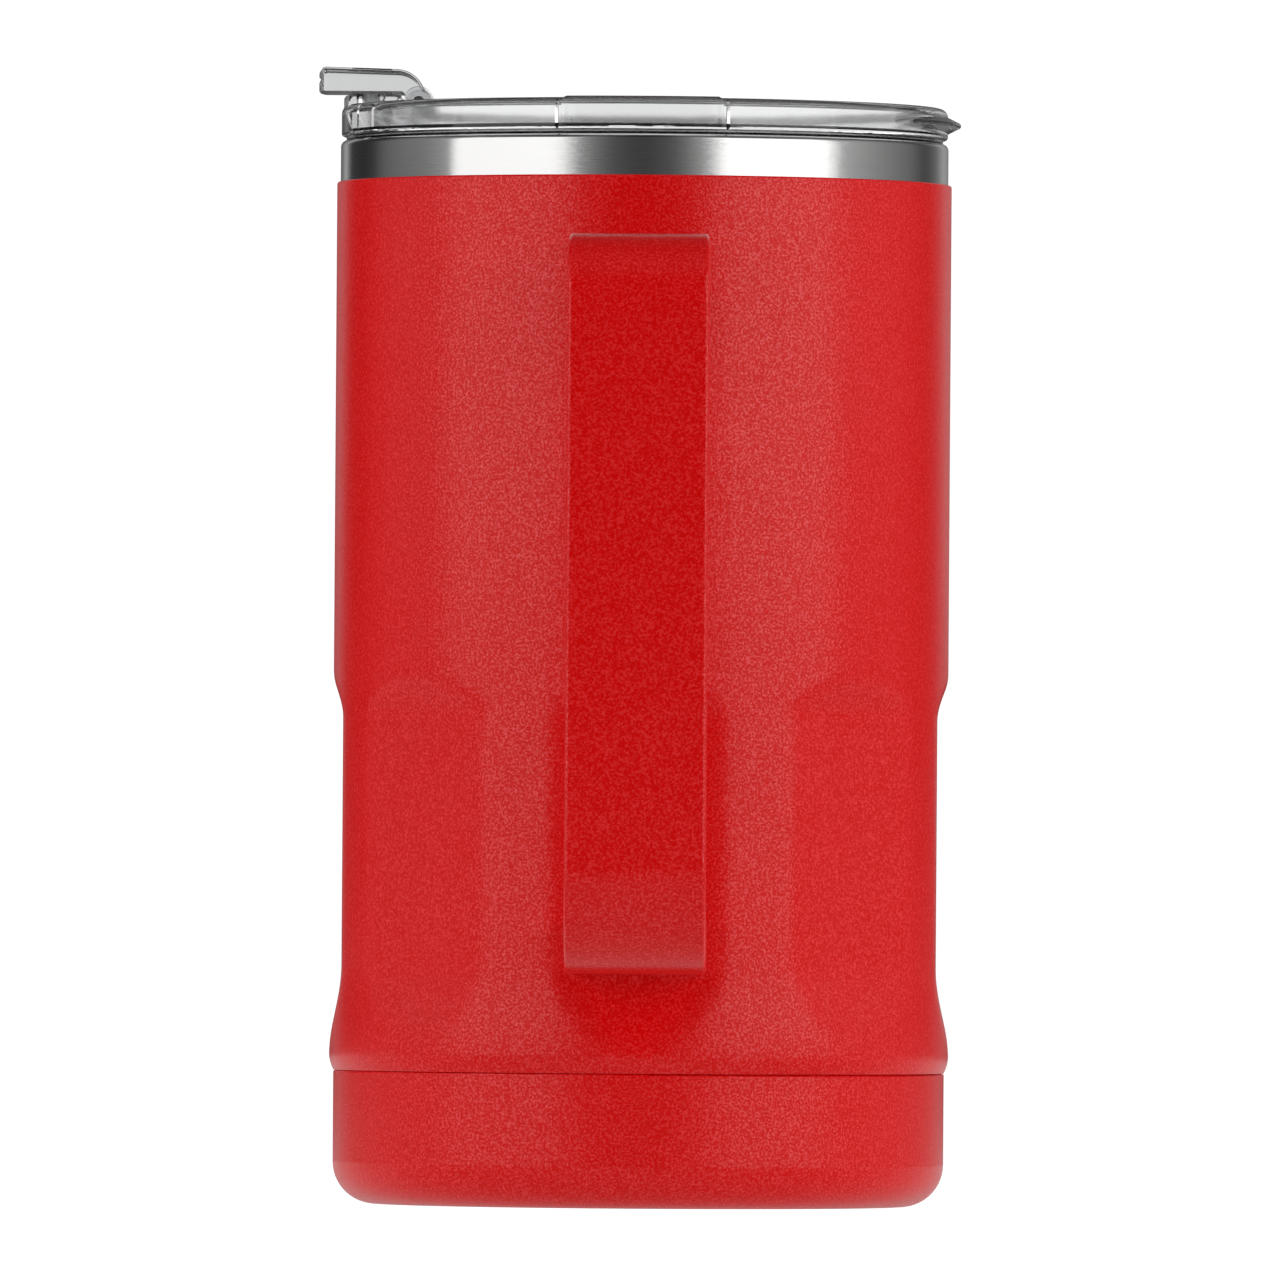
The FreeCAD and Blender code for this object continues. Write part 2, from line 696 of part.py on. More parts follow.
# ---- closure ----
def flip_closure():
    """Clear lever over the spout, with a grooved free end and a knuckle on the pin."""
    free = -closure_reach
    back = -hinge_place + closure_heel
    top = closure_low + closure_thickness
    middle = (closure_low + top) / 2
    leg = -hinge_place - knuckle_radius
    corners = [(free, closure_low, 0.3), (free, middle - grip_groove), (free + grip_groove, middle)]
    corners += [(free, middle + grip_groove), (free, top - 0.8, 0.3), (free + 0.9, top, 0.5)]
    corners += [(back, top - closure_slope, closure_bend), (back, hinge_z), (leg, hinge_z)]
    corners += [(leg, closure_low, 0.8)]
    lever = across(outline_face(corners), closure_half_width, FreeCAD.Vector(0, 1, 0))
    lever = lever.common(disc(closure_reach, 0, top + 1))
    sides = [edge for edge in lever.Edges if edge_on_side(edge)]
    lever = lever.makeFillet(closure_edge, sides)
    lever = lever.fuse(pin_solid(knuckle_radius, closure_half_width))
    return lever.cut(pin_solid(pin_radius + pin_clearance, closure_half_width + 1)).removeSplitter()


def edge_on_side(edge):
    """Tell whether an edge runs along the top of one of the closure's sides."""
    on_side = all(abs(abs(v.Point.y) - closure_half_width) < 1e-6 for v in edge.Vertexes)
    high = edge.CenterOfMass.z > closure_low + closure_thickness - closure_slope - 0.3
    return on_side and high and edge.Length > 5


def sip_stopper():
    """Silicone stopper moulded onto the closure's underside, over the sip opening."""
    half_length = sip_half_length - stopper_gap
    half_width = sip_half_width - stopper_gap
    lip = slot_face(-sip_place, sip_half_length + stopper_lip, sip_half_width + stopper_lip, spout_top + 0.05)
    plug = slot_face(-sip_place, half_length, half_width, spout_top - stopper_depth)
    stopper = lip.extrude(z_axis * (closure_seat - 0.05))
    return stopper.fuse(plug.extrude(z_axis * (stopper_depth + closure_seat))).removeSplitter()


# ---- write every piece ----
def pieces():
    """Return every piece of the mug under its node name."""
    upper_foot_low = rim_height - handle_drop - handle_depth
    return {
        "outer_shell": outer_shell(),
        "inner_liner": inner_liner(),
        "liner_base": liner_base(),
        "heat_foil": heat_foil(),
        "jacket_base": jacket_base(),
        "vacuum_seal": vacuum_seal(),
        "getter": getter(),
        "getter_clip": getter_clip(),
        "base_cup": base_cup(),
        "foot_pad": foot_pad(),
        "handle_outer": handle_outer(),
        "handle_inner": handle_inner(),
        "handle_foot_upper": handle_foot(upper_foot_low),
        "handle_foot_lower": handle_foot(handle_low),
        "lid_cover": lid_cover(),
        "lid_plug": lid_plug(),
        "lid_gasket": lid_gasket(),
        "hinge_pin": hinge_pin(),
        "flip_closure": flip_closure(),
        "sip_stopper": sip_stopper(),
    }


def main():
    """Build every piece and write it as its own STEP file."""
    os.makedirs("parts", exist_ok=True)
    for name, shape in pieces().items():
        shape.exportStep("parts/" + name + ".step")
        solids = len(shape.Solids)
        print(name, "solids", solids, "valid", shape.isValid(), "volume", round(shape.Volume, 1))


main()
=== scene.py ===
import math

import bmesh
import bpy
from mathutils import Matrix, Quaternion, Vector


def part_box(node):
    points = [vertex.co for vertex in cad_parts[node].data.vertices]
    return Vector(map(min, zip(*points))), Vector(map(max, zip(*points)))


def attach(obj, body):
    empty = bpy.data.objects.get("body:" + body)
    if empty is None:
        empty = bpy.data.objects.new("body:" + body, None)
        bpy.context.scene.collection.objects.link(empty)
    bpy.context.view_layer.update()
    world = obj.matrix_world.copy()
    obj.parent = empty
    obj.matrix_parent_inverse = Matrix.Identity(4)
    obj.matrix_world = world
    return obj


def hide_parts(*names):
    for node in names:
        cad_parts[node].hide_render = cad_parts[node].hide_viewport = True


bl_info = {
    "name": "Insulated Travel Mug",
    "version": (1, 0, 0),
    "blender": (4, 5, 0),
    "location": "View3D > Sidebar > Travel Mug",
    "description": "Builds the visible pieces, finishes and studio of an insulated travel mug",
    "category": "Add Mesh",
}

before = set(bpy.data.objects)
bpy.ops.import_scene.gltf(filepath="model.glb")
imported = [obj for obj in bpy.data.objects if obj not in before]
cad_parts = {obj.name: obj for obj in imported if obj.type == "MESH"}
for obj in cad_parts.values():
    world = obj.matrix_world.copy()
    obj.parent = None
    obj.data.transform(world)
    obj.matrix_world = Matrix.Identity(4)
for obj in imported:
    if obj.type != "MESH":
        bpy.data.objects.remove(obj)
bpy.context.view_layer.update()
MM = 0.001

# Height of the steel rim's top, taken from the frame.
RIM_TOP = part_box("outer_shell")[1].z

# Steel behind the deepest point of a facet, and how far the bare band runs down behind the coat.
BACK_ROOM = 1.2 * MM
BAND_TUCK = 4.0 * MM
# Round on the coat's top edge and inside the rim.
SMALL_ROUND = 0.3 * MM
RIM_STEPS = 256

# Places on the grain, from 0 to 1, where the coat turns light and where it turns glossy; the lightening is
# partly the grain's own tone and partly a painted glint.
GLINT_CREST_START, GLINT_CREST_END = 0.45, 0.70
GLOSS_START, GLOSS_END = 0.42, 0.68
LEAST_GLOSS = 0.3
# Coat's soft patches against the size of its grain.
PATCH_SHARE = 0.045
# Cells of the brushed grain in a metre: across the steel twice, and up the axis.
BRUSH_SCALE = (50, 50, 7000)
# Elevations between which the walls turn into the ceiling.
WALLS_END, CEILING_START = math.radians(25), math.radians(50)
# Distance from the mug's axis where the floor's glow starts to fade, and what is left far off.
GLOW_CORE = 0.3
FAR_GLOW = 0.03

# Grey of the studio at each bearing in degrees: 0 is in front of the handle and 90 is to its right.
STUDIO_WALLS = (
    (-180, 0.14), (-165, 0.16), (-157, 0.45), (-149, 0.05), (-134, 0.03), (-125, 0.05), (-117, 0.15),
    (-106, 0.21), (-93, 0.25), (-80, 0.38), (-70, 0.20), (-32, 0.26), (-27, 0.42), (-20, 0.26),
    (-14, 0.11), (0, 0.05), (14, 0.12), (21, 0.36), (28, 0.5), (40, 0.35), (70, 0.3), (84, 0.5),
    (96, 0.36), (111, 0.24), (122, 0.18), (134, 0.06), (149, 0.18), (157, 0.42), (180, 0.14))


# ---- settings ----
class TravelMugBodySettings(bpy.types.PropertyGroup):
    """Sizes of the coated body, as far as its visible surface needs them."""

    body_radius: bpy.props.FloatProperty(
        name="Body radius", description="Coated body between and above the facets",
        default=44.5 * MM, unit="LENGTH")
    bare_band: bpy.props.FloatProperty(
        name="Bare band", description="Height of uncoated steel under the rim",
        default=6.0 * MM, unit="LENGTH")
    coat_step: bpy.props.FloatProperty(
        name="Coat step", description="How far the coated body stands outside the bare steel",
        default=0.5 * MM, unit="LENGTH")
    rim_round: bpy.props.FloatProperty(
        name="Rim round", description="Rounding of the rim's outer edge",
        default=0.9 * MM, unit="LENGTH")
    rim_wall: bpy.props.FloatProperty(
        name="Rim wall", description="Steel wall at the rim", default=0.6 * MM, unit="LENGTH")
    facet_count: bpy.props.IntProperty(
        name="Facets", description="Number of flat grip facets", default=8, min=3)
    facet_depth: bpy.props.FloatProperty(
        name="Facet depth", description="Deepest point of each flat", default=1.6 * MM, unit="LENGTH")
    facet_top: bpy.props.FloatProperty(
        name="Facet top", description="Height where a facet has run out", default=79.5 * MM, unit="LENGTH")
    facet_top_fade: bpy.props.FloatProperty(
        name="Facet top fade", description="Height over which it runs out at the top",
        default=9.2 * MM, unit="LENGTH")
    facet_low: bpy.props.FloatProperty(
        name="Facet foot", description="Height where a facet starts to run out at the bottom",
        default=34.5 * MM, unit="LENGTH")
    facet_low_fade: bpy.props.FloatProperty(
        name="Facet foot fade", description="Height over which it runs out at the bottom",
        default=15.5 * MM, unit="LENGTH")
    crease_blend: bpy.props.FloatProperty(
        name="Crease blend", description="Softness of the crease round each facet",
        default=0.5 * MM, unit="LENGTH")
    bulge: bpy.props.FloatProperty(
        name="Foot swell", description="How far the foot of the body swells out",
        default=0.33 * MM, unit="LENGTH")
    shoulder_round: bpy.props.FloatProperty(
        name="Shoulder round", description="Height of the round under the swell",
        default=2.55 * MM, unit="LENGTH")
    seam_height: bpy.props.FloatProperty(
        name="Seam height", description="Underside of the body's shoulder",
        default=19.35 * MM, unit="LENGTH")
    set_back: bpy.props.FloatProperty(
        name="Shoulder set-back", description="Shoulder's lower edge inside the coated radius",
        default=0.3 * MM, unit="LENGTH")
    segments: bpy.props.IntProperty(
        name="Segments", description="Steps round the body", default=352, min=32)
    rows: bpy.props.IntProperty(
        name="Rows", description="Steps up the facets", default=104, min=8)


class TravelMugFinishSettings(bpy.types.PropertyGroup):
    """Colours and grain of the finishes."""

    coat_colour: bpy.props.FloatVectorProperty(
        name="Coat colour", description="Powder coat", subtype="COLOR", size=4,
        default=(0.78, 0.0008, 0.001, 1.0), min=0, max=1)
    # Crest colour: partly the coat's own grain tone, partly a painted glint that stands in for sparkle
    # from the lights.
    coat_crest_glint_colour: bpy.props.FloatVectorProperty(
        name="Coat crest colour", description="Powder coat on the crests of its grain",
        subtype="COLOR", size=4, default=(0.96, 0.021, 0.024, 1.0), min=0, max=1)
    coat_grain: bpy.props.FloatProperty(
        name="Coat grain", description="Size of the coat's grain", default=0.34 * MM, unit="LENGTH")
    coat_relief: bpy.props.FloatProperty(
        name="Coat relief", description="Height of the coat's grain", default=0.04 * MM, unit="LENGTH")
    steel_colour: bpy.props.FloatVectorProperty(
        name="Steel colour", description="Bare stainless steel", subtype="COLOR", size=4,
        default=(0.66, 0.655, 0.65, 1.0), min=0, max=1)
    plastic_smoke: bpy.props.FloatVectorProperty(
        name="Plastic smoke", description="Tint of the clear plastic in thick parts",
        subtype="COLOR", size=4, default=(0.46, 0.465, 0.47, 1.0), min=0, max=1)
    plastic_density: bpy.props.FloatProperty(
        name="Smoke density", description="Strength of the smoke in thick plastic",
        default=26.0, min=0)
    plastic_tint: bpy.props.FloatVectorProperty(
        name="Plastic tint", description="Tint that each clear plastic wall gives",
        subtype="COLOR", size=4, default=(0.80, 0.803, 0.806, 1.0), min=0, max=1)
    silicone_colour: bpy.props.FloatVectorProperty(
        name="Silicone colour", description="Translucent seals", subtype="COLOR", size=4,
        default=(0.95, 0.955, 0.96, 1.0), min=0, max=1)
    pad_colour: bpy.props.FloatVectorProperty(
        name="Pad colour", description="Foot pad", subtype="COLOR", size=4,
        default=(0.018, 0.018, 0.02, 1.0), min=0, max=1)
    copper_colour: bpy.props.FloatVectorProperty(
        name="Copper colour", description="Heat foil", subtype="COLOR", size=4,
        default=(0.80, 0.37, 0.22, 1.0), min=0, max=1)


class TravelMugStageSettings(bpy.types.PropertyGroup):
    """Floor, lights and camera."""

    camera_distance: bpy.props.FloatProperty(
        name="Camera distance", description="From the mug's axis", default=3.16, unit="LENGTH")
    camera_azimuth: bpy.props.FloatProperty(
        name="Camera azimuth", description="Turn round the mug from straight in front of the handle",
        default=math.radians(0.48), subtype="ANGLE")
    camera_height: bpy.props.FloatProperty(
        name="Camera height", description="Eye level above the floor", default=0.0461, unit="LENGTH")
    camera_roll: bpy.props.FloatProperty(
        name="Camera roll", description="Lean of the picture", default=0.0069, subtype="ANGLE")
    aim_height: bpy.props.FloatProperty(
        name="Aim height", description="Point on the axis in the middle of the picture",
        default=0.0818, unit="LENGTH")
    aim_side: bpy.props.FloatProperty(
        name="Aim side", description="How far the picture's middle lies beside the axis",
        default=-0.0002, unit="LENGTH")
    lens: bpy.props.FloatProperty(
        name="Lens", description="Focal length in millimetres on a 36 mm sensor", default=613.8)
    softbox_azimuth: bpy.props.FloatProperty(
        name="Softbox azimuth", description="Each softbox's turn from the camera's side",
        default=math.radians(52), subtype="ANGLE")
    softbox_distance: bpy.props.FloatProperty(
        name="Softbox distance", description="From the mug's axis", default=1.0, unit="LENGTH")
    softbox_width: bpy.props.FloatProperty(
        name="Softbox width", description="Width of each softbox", default=0.9, unit="LENGTH")
    softbox_height: bpy.props.FloatProperty(
        name="Softbox height", description="Height of each softbox", default=0.75, unit="LENGTH")
    softbox_power: bpy.props.FloatProperty(
        name="Softbox power", description="Power of each softbox in watts", default=2.75)
    softbox_balance: bpy.props.FloatProperty(
        name="Softbox balance", description="Share by which the right softbox is stronger",
        default=0.05)
    side_azimuth: bpy.props.FloatProperty(
        name="Side light azimuth", description="Each side light's turn from the camera's side",
        default=math.radians(98), subtype="ANGLE")
    side_rise: bpy.props.FloatProperty(
        name="Side light rise", description="Each side light's height above the floor",
        default=0.3, unit="LENGTH")
    side_size: bpy.props.FloatProperty(
        name="Side light size", description="Width and height of the side and top lights",
        default=0.7, unit="LENGTH")
    side_power: bpy.props.FloatProperty(
        name="Side light power", description="Power of each side light in watts", default=2.7)
    floor_glow: bpy.props.FloatProperty(
        name="Floor glow", description="Light the floor sends up to the mug", default=0.4, min=0)
    ceiling: bpy.props.FloatProperty(
        name="Ceiling", description="Brightness overhead, as a share of the walls'", default=0.4, min=0)
    backdrop: bpy.props.FloatProperty(
        name="Backdrop", description="Brightness seen behind the mug", default=1.05, min=0)
    top_height: bpy.props.FloatProperty(
        name="Top light height", description="Height of the light over the mug's front",
        default=1.0, unit="LENGTH")
    top_forward: bpy.props.FloatProperty(
        name="Top light place", description="How far the top light hangs in front of the mug",
        default=0.45, unit="LENGTH")
    top_power: bpy.props.FloatProperty(
        name="Top light power", description="Power of the top light in watts", default=1.5)
    light_bounces: bpy.props.IntProperty(
        name="Light bounces", description="Bounces that light makes inside the clear lid",
        default=24, min=1)
    glow_reach: bpy.props.FloatProperty(
        name="Glow reach", description="Distance from the mug at which the floor's glow ends",
        default=1.0, unit="LENGTH")
    floor_radius: bpy.props.FloatProperty(
        name="Floor radius", description="Radius of the pale floor", default=30.0, unit="LENGTH")


# ---- mesh helpers ----
def new_piece(name, bm, sharp_angle=35.0):
    """Turn a bmesh into a smooth-shaded piece with clean outward normals."""
    bmesh.ops.remove_doubles(bm, verts=bm.verts, dist=1e-7)
    bmesh.ops.recalc_face_normals(bm, faces=bm.faces)
    mesh = bpy.data.meshes.new(name)
    bm.to_mesh(mesh)
    bm.free()
    mesh.shade_smooth()
    mesh.set_sharp_from_angle(angle=math.radians(sharp_angle))
    piece = bpy.data.objects.new(name, mesh)
    bpy.context.scene.collection.objects.link(piece)
    return piece


def profile_loop(bm, corners):
    """Draw a closed outline in the XZ plane; corners are (r, z, rounding, steps)."""
    verts = [bm.verts.new((corner[0], 0, corner[1])) for corner in corners]
    for first, second in zip(verts, verts[1:] + verts[:1]):
        bm.edges.new((first, second))
    for vert, corner in zip(verts, corners):
        if len(corner) > 2 and corner[2] > 0:
            bmesh.ops.bevel(
                bm, geom=[vert], offset=corner[2], offset_type="OFFSET", segments=corner[3],
                profile=0.5, affect="VERTICES", material=-1)


def turned_piece(name, corners, segments, sharp_angle=35.0):
    """Spin a closed, rounded outline into a ring."""
    bm = bmesh.new()
    profile_loop(bm, corners)
    spin_all(bm, segments)
    return new_piece(name, bm, sharp_angle)


def spin_all(bm, segments):
    """Spin everything in the bmesh once round the Z axis."""
    geom = bm.verts[:] + bm.edges[:]
    bmesh.ops.spin(
        bm, geom=geom, cent=(0, 0, 0), axis=(0, 0, 1), angle=2 * math.pi, steps=segments,
        use_merge=True)


# ---- material helpers ----
def new_material(name):
    """Return a fresh material with its node tree, shader and output."""
    material = bpy.data.materials.new(name)
    material.use_nodes = True
    nodes = material.node_tree.nodes
    return material, nodes, material.node_tree.links, nodes["Principled BSDF"]


def node(nodes, kind, **values):
    """Add a node and set its inputs by name (spaces as underscores) or its own properties."""
    made = nodes.new(kind)
    for key, value in values.items():
        label = key.replace("_", " ")
        if label in made.inputs:
            made.inputs[label].default_value = value
        else:
            setattr(made, key, value)
    return made


def object_coordinates(nodes, links, scale=(1, 1, 1)):
    """Return the object's own coordinates through a mapping."""
    place = node(nodes, "ShaderNodeTexCoord")
    mapping = node(nodes, "ShaderNodeMapping")
    mapping.inputs["Scale"].default_value = scale
    links.new(place.outputs["Object"], mapping.inputs["Vector"])
    return mapping.outputs["Vector"]


def spread(nodes, links, source, low, high, start=0.0, end=1.0):
    """Map a value between start and end to one between low and high."""
    mapped = node(nodes, "ShaderNodeMapRange")
    for label, value in (("From Min", start), ("From Max", end), ("To Min", low), ("To Max", high)):
        mapped.inputs[label].default_value = value
    links.new(source, mapped.inputs["Value"])
    return mapped.outputs["Result"]


def add_relief(nodes, links, height, distance, strength=1.0):
    """Raise the shader's surface by a pattern."""
    bump = node(nodes, "ShaderNodeBump", Strength=strength, Distance=distance)
    links.new(height, bump.inputs["Height"])
    links.new(bump.outputs["Normal"], nodes["Principled BSDF"].inputs["Normal"])


def coat_material(settings):
    """Fine-grained powder coat: small soft bumps with glossier crests, whose lighter colour is partly the
    grain's own tone and partly a painted glint.
    """
    material, nodes, links, shader = new_material("powder_coat")
    place = object_coordinates(nodes, links)
    per_metre = 1.0 / settings.coat_grain
    grain = node(nodes, "ShaderNodeTexNoise", Scale=per_metre, Detail=2.0, Roughness=0.55)
    patches = node(
        nodes, "ShaderNodeTexNoise", Scale=per_metre * PATCH_SHARE, Detail=2.0, Roughness=0.5)
    for texture in (grain, patches):
        links.new(place, texture.inputs["Vector"])
    # Lighter crests: partly real grain tone, partly a painted glint that stands in for the lights' sparkle
    # on the grain.
    crest = node(nodes, "ShaderNodeValToRGB")
    hollow, glint_peak = crest.color_ramp.elements
    hollow.position, hollow.color = GLINT_CREST_START, settings.coat_colour
    glint_peak.position, glint_peak.color = GLINT_CREST_END, settings.coat_crest_glint_colour
    links.new(grain.outputs["Fac"], crest.inputs["Fac"])
    links.new(crest.outputs["Color"], shader.inputs["Base Color"])
    rough = spread(nodes, links, patches.outputs["Fac"], low=0.20, high=0.24, start=0.3, end=0.7)
    links.new(rough, shader.inputs["Roughness"])
    add_relief(nodes, links, grain.outputs["Fac"], settings.coat_relief)
    shader.inputs["IOR"].default_value = 1.5
    shader.inputs["Specular IOR Level"].default_value = 0.66
    gloss = spread(
        nodes, links, grain.outputs["Fac"], low=LEAST_GLOSS, high=1.0, start=GLOSS_START, end=GLOSS_END)
    links.new(gloss, shader.inputs["Specular Tint"])
    return material


def steel_material(settings):
    """Stainless steel brushed in rings round the Z axis."""
    material, nodes, links, shader = new_material("brushed_steel")
    place = object_coordinates(nodes, links, BRUSH_SCALE)
    rings = node(nodes, "ShaderNodeTexNoise", Scale=1.0, Detail=4.0, Roughness=0.7)
    links.new(place, rings.inputs["Vector"])
    tone = spread(nodes, links, rings.outputs["Fac"], low=0.104, high=0.1625)
    links.new(tone, shader.inputs["Roughness"])
    add_relief(nodes, links, rings.outputs["Fac"], distance=0.012 * MM)
    shader.inputs["Base Color"].default_value = settings.steel_colour
    shader.inputs["Metallic"].default_value = 1.0
    return material


def plastic_material(settings):
    """Clear hard plastic: a light tint at each wall, and smoke where it is thick."""
    material, nodes, links, shader = new_material("clear_plastic")
    place = object_coordinates(nodes, links)
    ripple = node(nodes, "ShaderNodeTexNoise", Scale=140.0, Detail=1.0, Roughness=0.4)
    links.new(place, ripple.inputs["Vector"])
    add_relief(nodes, links, ripple.outputs["Fac"], distance=0.02 * MM)
    shader.inputs["Base Color"].default_value = settings.plastic_tint
    shader.inputs["Roughness"].default_value = 0.07
    shader.inputs["IOR"].default_value = 1.54
    shader.inputs["Transmission Weight"].default_value = 1.0
    smoke = node(nodes, "ShaderNodeVolumeAbsorption", Density=settings.plastic_density)
    smoke.inputs["Color"].default_value = settings.plastic_smoke
    links.new(smoke.outputs["Volume"], nodes["Material Output"].inputs["Volume"])
    return material


def silicone_material(name, colour, clear):
    """Soft moulded silicone with a faint dusty bloom."""
    material, nodes, links, shader = new_material(name)
    place = object_coordinates(nodes, links)
    bloom = node(nodes, "ShaderNodeTexNoise", Scale=900.0, Detail=4.0, Roughness=0.6)
    links.new(place, bloom.inputs["Vector"])
    tone = spread(nodes, links, bloom.outputs["Fac"], low=0.42, high=0.62)
    links.new(tone, shader.inputs["Roughness"])
    add_relief(nodes, links, bloom.outputs["Fac"], distance=0.01 * MM, strength=0.6)
    shader.inputs["Base Color"].default_value = colour
    shader.inputs["Transmission Weight"].default_value = clear
    shader.inputs["IOR"].default_value = 1.41
    return material


def copper_material(settings):
    """Thin foil with soft crinkles."""
    material, nodes, links, shader = new_material("copper_foil")
    place = object_coordinates(nodes, links)
    crinkle = node(nodes, "ShaderNodeTexVoronoi", Scale=160.0)
    links.new(place, crinkle.inputs["Vector"])
    add_relief(nodes, links, crinkle.outputs["Distance"], distance=0.1 * MM, strength=0.5)
    shader.inputs["Base Color"].default_value = settings.copper_colour
    shader.inputs["Metallic"].default_value = 1.0
    shader.inputs["Roughness"].default_value = 0.25
    return material


def plain_detail_material(name, colour, rough, metal):
    """Small inner piece with a fine mottled surface."""
    material, nodes, links, shader = new_material(name)
    place = object_coordinates(nodes, links)
    mottle = node(nodes, "ShaderNodeTexNoise", Scale=2500.0, Detail=3.0)
    links.new(place, mottle.inputs["Vector"])
    add_relief(nodes, links, mottle.outputs["Fac"], distance=0.03 * MM, strength=0.5)
    shader.inputs["Base Color"].default_value = colour
    shader.inputs["Roughness"].default_value = rough
    shader.inputs["Metallic"].default_value = metal
    return material


MADE_FINISHES = {}


def finishes():
    """Make the finishes once, and return them by name."""
    if not MADE_FINISHES:
        settings = bpy.context.scene.travel_mug_finish
        MADE_FINISHES.update({
            "coat": coat_material(settings),
            "steel": steel_material(settings),
            "plastic": plastic_material(settings),
            "silicone": silicone_material("clear_silicone", settings.silicone_colour, 1.0),
            "pad": silicone_material("pad_silicone", settings.pad_colour, 0.0),
            "copper": copper_material(settings),
            "getter": plain_detail_material("getter_metal", (0.09, 0.09, 0.1, 1), 0.7, 0.6),
            "solder_glass": plain_detail_material("solder_glass", (0.12, 0.13, 0.12, 1), 0.25, 0.0),
        })
    return MADE_FINISHES


def dress(node_names, material):
    """Give CAD nodes a finish."""
    for name in node_names:
        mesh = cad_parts[name].data
        mesh.materials.clear()
        mesh.materials.append(material)


def dress_piece(piece, material, body, slot, *replaced):
    """Give a new piece its finish and body, and hide the CAD nodes it stands for; slot is not used."""
    piece.data.materials.append(material)
    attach(piece, body)
    if replaced:
        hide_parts(*replaced)


# ---- the faceted surface ----
def ease(amount):
    """Run smoothly from 0 to 1, and stay there outside that range."""
    amount = min(max(amount, 0.0), 1.0)
    return amount * amount * (3 - 2 * amount)


def plain_radius(size, z):
    """Radius of the body between its facets."""
    widest = size.seam_height + size.shoulder_round
    swell = size.bulge * ease((size.facet_low - z) / (size.facet_low - widest))
    under = max(widest - z, 0) / size.shoulder_round
    return size.body_radius + swell - (size.bulge + size.set_back) * under ** 2


def facet_distance(size, z):
    """Distance of a facet's flat from the axis."""
    clear = size.facet_depth + size.bulge + size.crease_blend
    top_run = ease((z - size.facet_top + size.facet_top_fade) / size.facet_top_fade)
    low_run = ease((size.facet_low - z) / size.facet_low_fade)
    return size.body_radius - size.facet_depth + clear * max(top_run, low_run)


def surface_radius(size, angle, z):
    """Radius of the coated surface, with a soft crease where facet and body meet."""
    pitch = 2 * math.pi / size.facet_count
    from_middle = (angle + pitch / 2) % pitch - pitch / 2
    round_part = plain_radius(size, z)
    flat_part = facet_distance(size, z) / math.cos(from_middle)
    share = min(max(0.5 + (round_part - flat_part) / (2 * size.crease_blend), 0.0), 1.0)
    mixed = flat_part * share + round_part * (1 - share)
    return mixed - size.crease_blend * share * (1 - share)


def back_radius(size):
    """Radius of the coated body's hidden back."""
    return size.body_radius - size.facet_depth - BACK_ROOM


def is_facet_wall(edge, size):
    """Tell whether a profile edge is the one that the facets are pressed into."""
    low, high = sorted(vert.co.z for vert in edge.verts)
    on_face = min(vert.co.x for vert in edge.verts) > back_radius(size) + BACK_ROOM / 2
    return on_face and low < size.seam_height + 1e-6 and high > size.facet_top - 1e-6


def press_facets(bm, size):
    """Move the outer face of a turned wall in to the faceted surface."""
    for vert in bm.verts:
        on_face = math.hypot(vert.co.x, vert.co.y) > back_radius(size) + BACK_ROOM / 2
        if on_face and vert.co.z <= size.facet_top:
            angle = math.atan2(vert.co.y, vert.co.x)
            radius = surface_radius(size, angle, vert.co.z)
            vert.co = Vector((radius * math.cos(angle), radius * math.sin(angle), vert.co.z))


# ---- pieces ----
class TRAVELMUG_OT_coated_body(bpy.types.Operator):
    """Build the faceted red body as one smooth shell"""

    bl_idname = "travelmug.coated_body"
    bl_label = "Coated Body"

    def execute(self, context):
        """Spin the wall, then press the facets into it."""
        size = context.scene.travel_mug_body
        inner = back_radius(size)
        coat_top = RIM_TOP - size.bare_band
        low_radius = plain_radius(size, size.seam_height)
        bm = bmesh.new()
        profile_loop(bm, [
            (inner, size.seam_height), (low_radius, size.seam_height),
            (size.body_radius, size.facet_top), (size.body_radius, coat_top, SMALL_ROUND, 4),
            (inner, coat_top)])
        wall = [edge for edge in bm.edges if is_facet_wall(edge, size)]
        bmesh.ops.subdivide_edges(bm, edges=wall, cuts=size.rows, use_grid_fill=False)
        spin_all(bm, size.segments)
        press_facets(bm, size)
        piece = new_piece("coated_body", bm, sharp_angle=50.0)
        dress_piece(piece, finishes()["coat"], "mug", "red_coat", "outer_shell")
        return {"FINISHED"}


class TRAVELMUG_OT_steel_rim(bpy.types.Operator):
    """Build the bare steel band and its rolled rim"""

    bl_idname = "travelmug.steel_rim"
    bl_label = "Steel Rim"

    def execute(self, context):
        """Spin the band's section."""
        size = context.scene.travel_mug_body
        outer = size.body_radius - size.coat_step
        lip = outer - size.rim_round
        low = RIM_TOP - size.bare_band - BAND_TUCK
        inner = outer - size.rim_wall
        piece = turned_piece("steel_rim", [
            (inner, low), (outer, low), (outer, RIM_TOP, size.rim_round, 8), (lip, RIM_TOP),
            (lip, RIM_TOP - size.rim_wall), (inner, RIM_TOP - size.rim_wall, SMALL_ROUND, 3)],
            RIM_STEPS)
        dress_piece(piece, finishes()["steel"], "mug", "steel", "outer_shell")
        return {"FINISHED"}


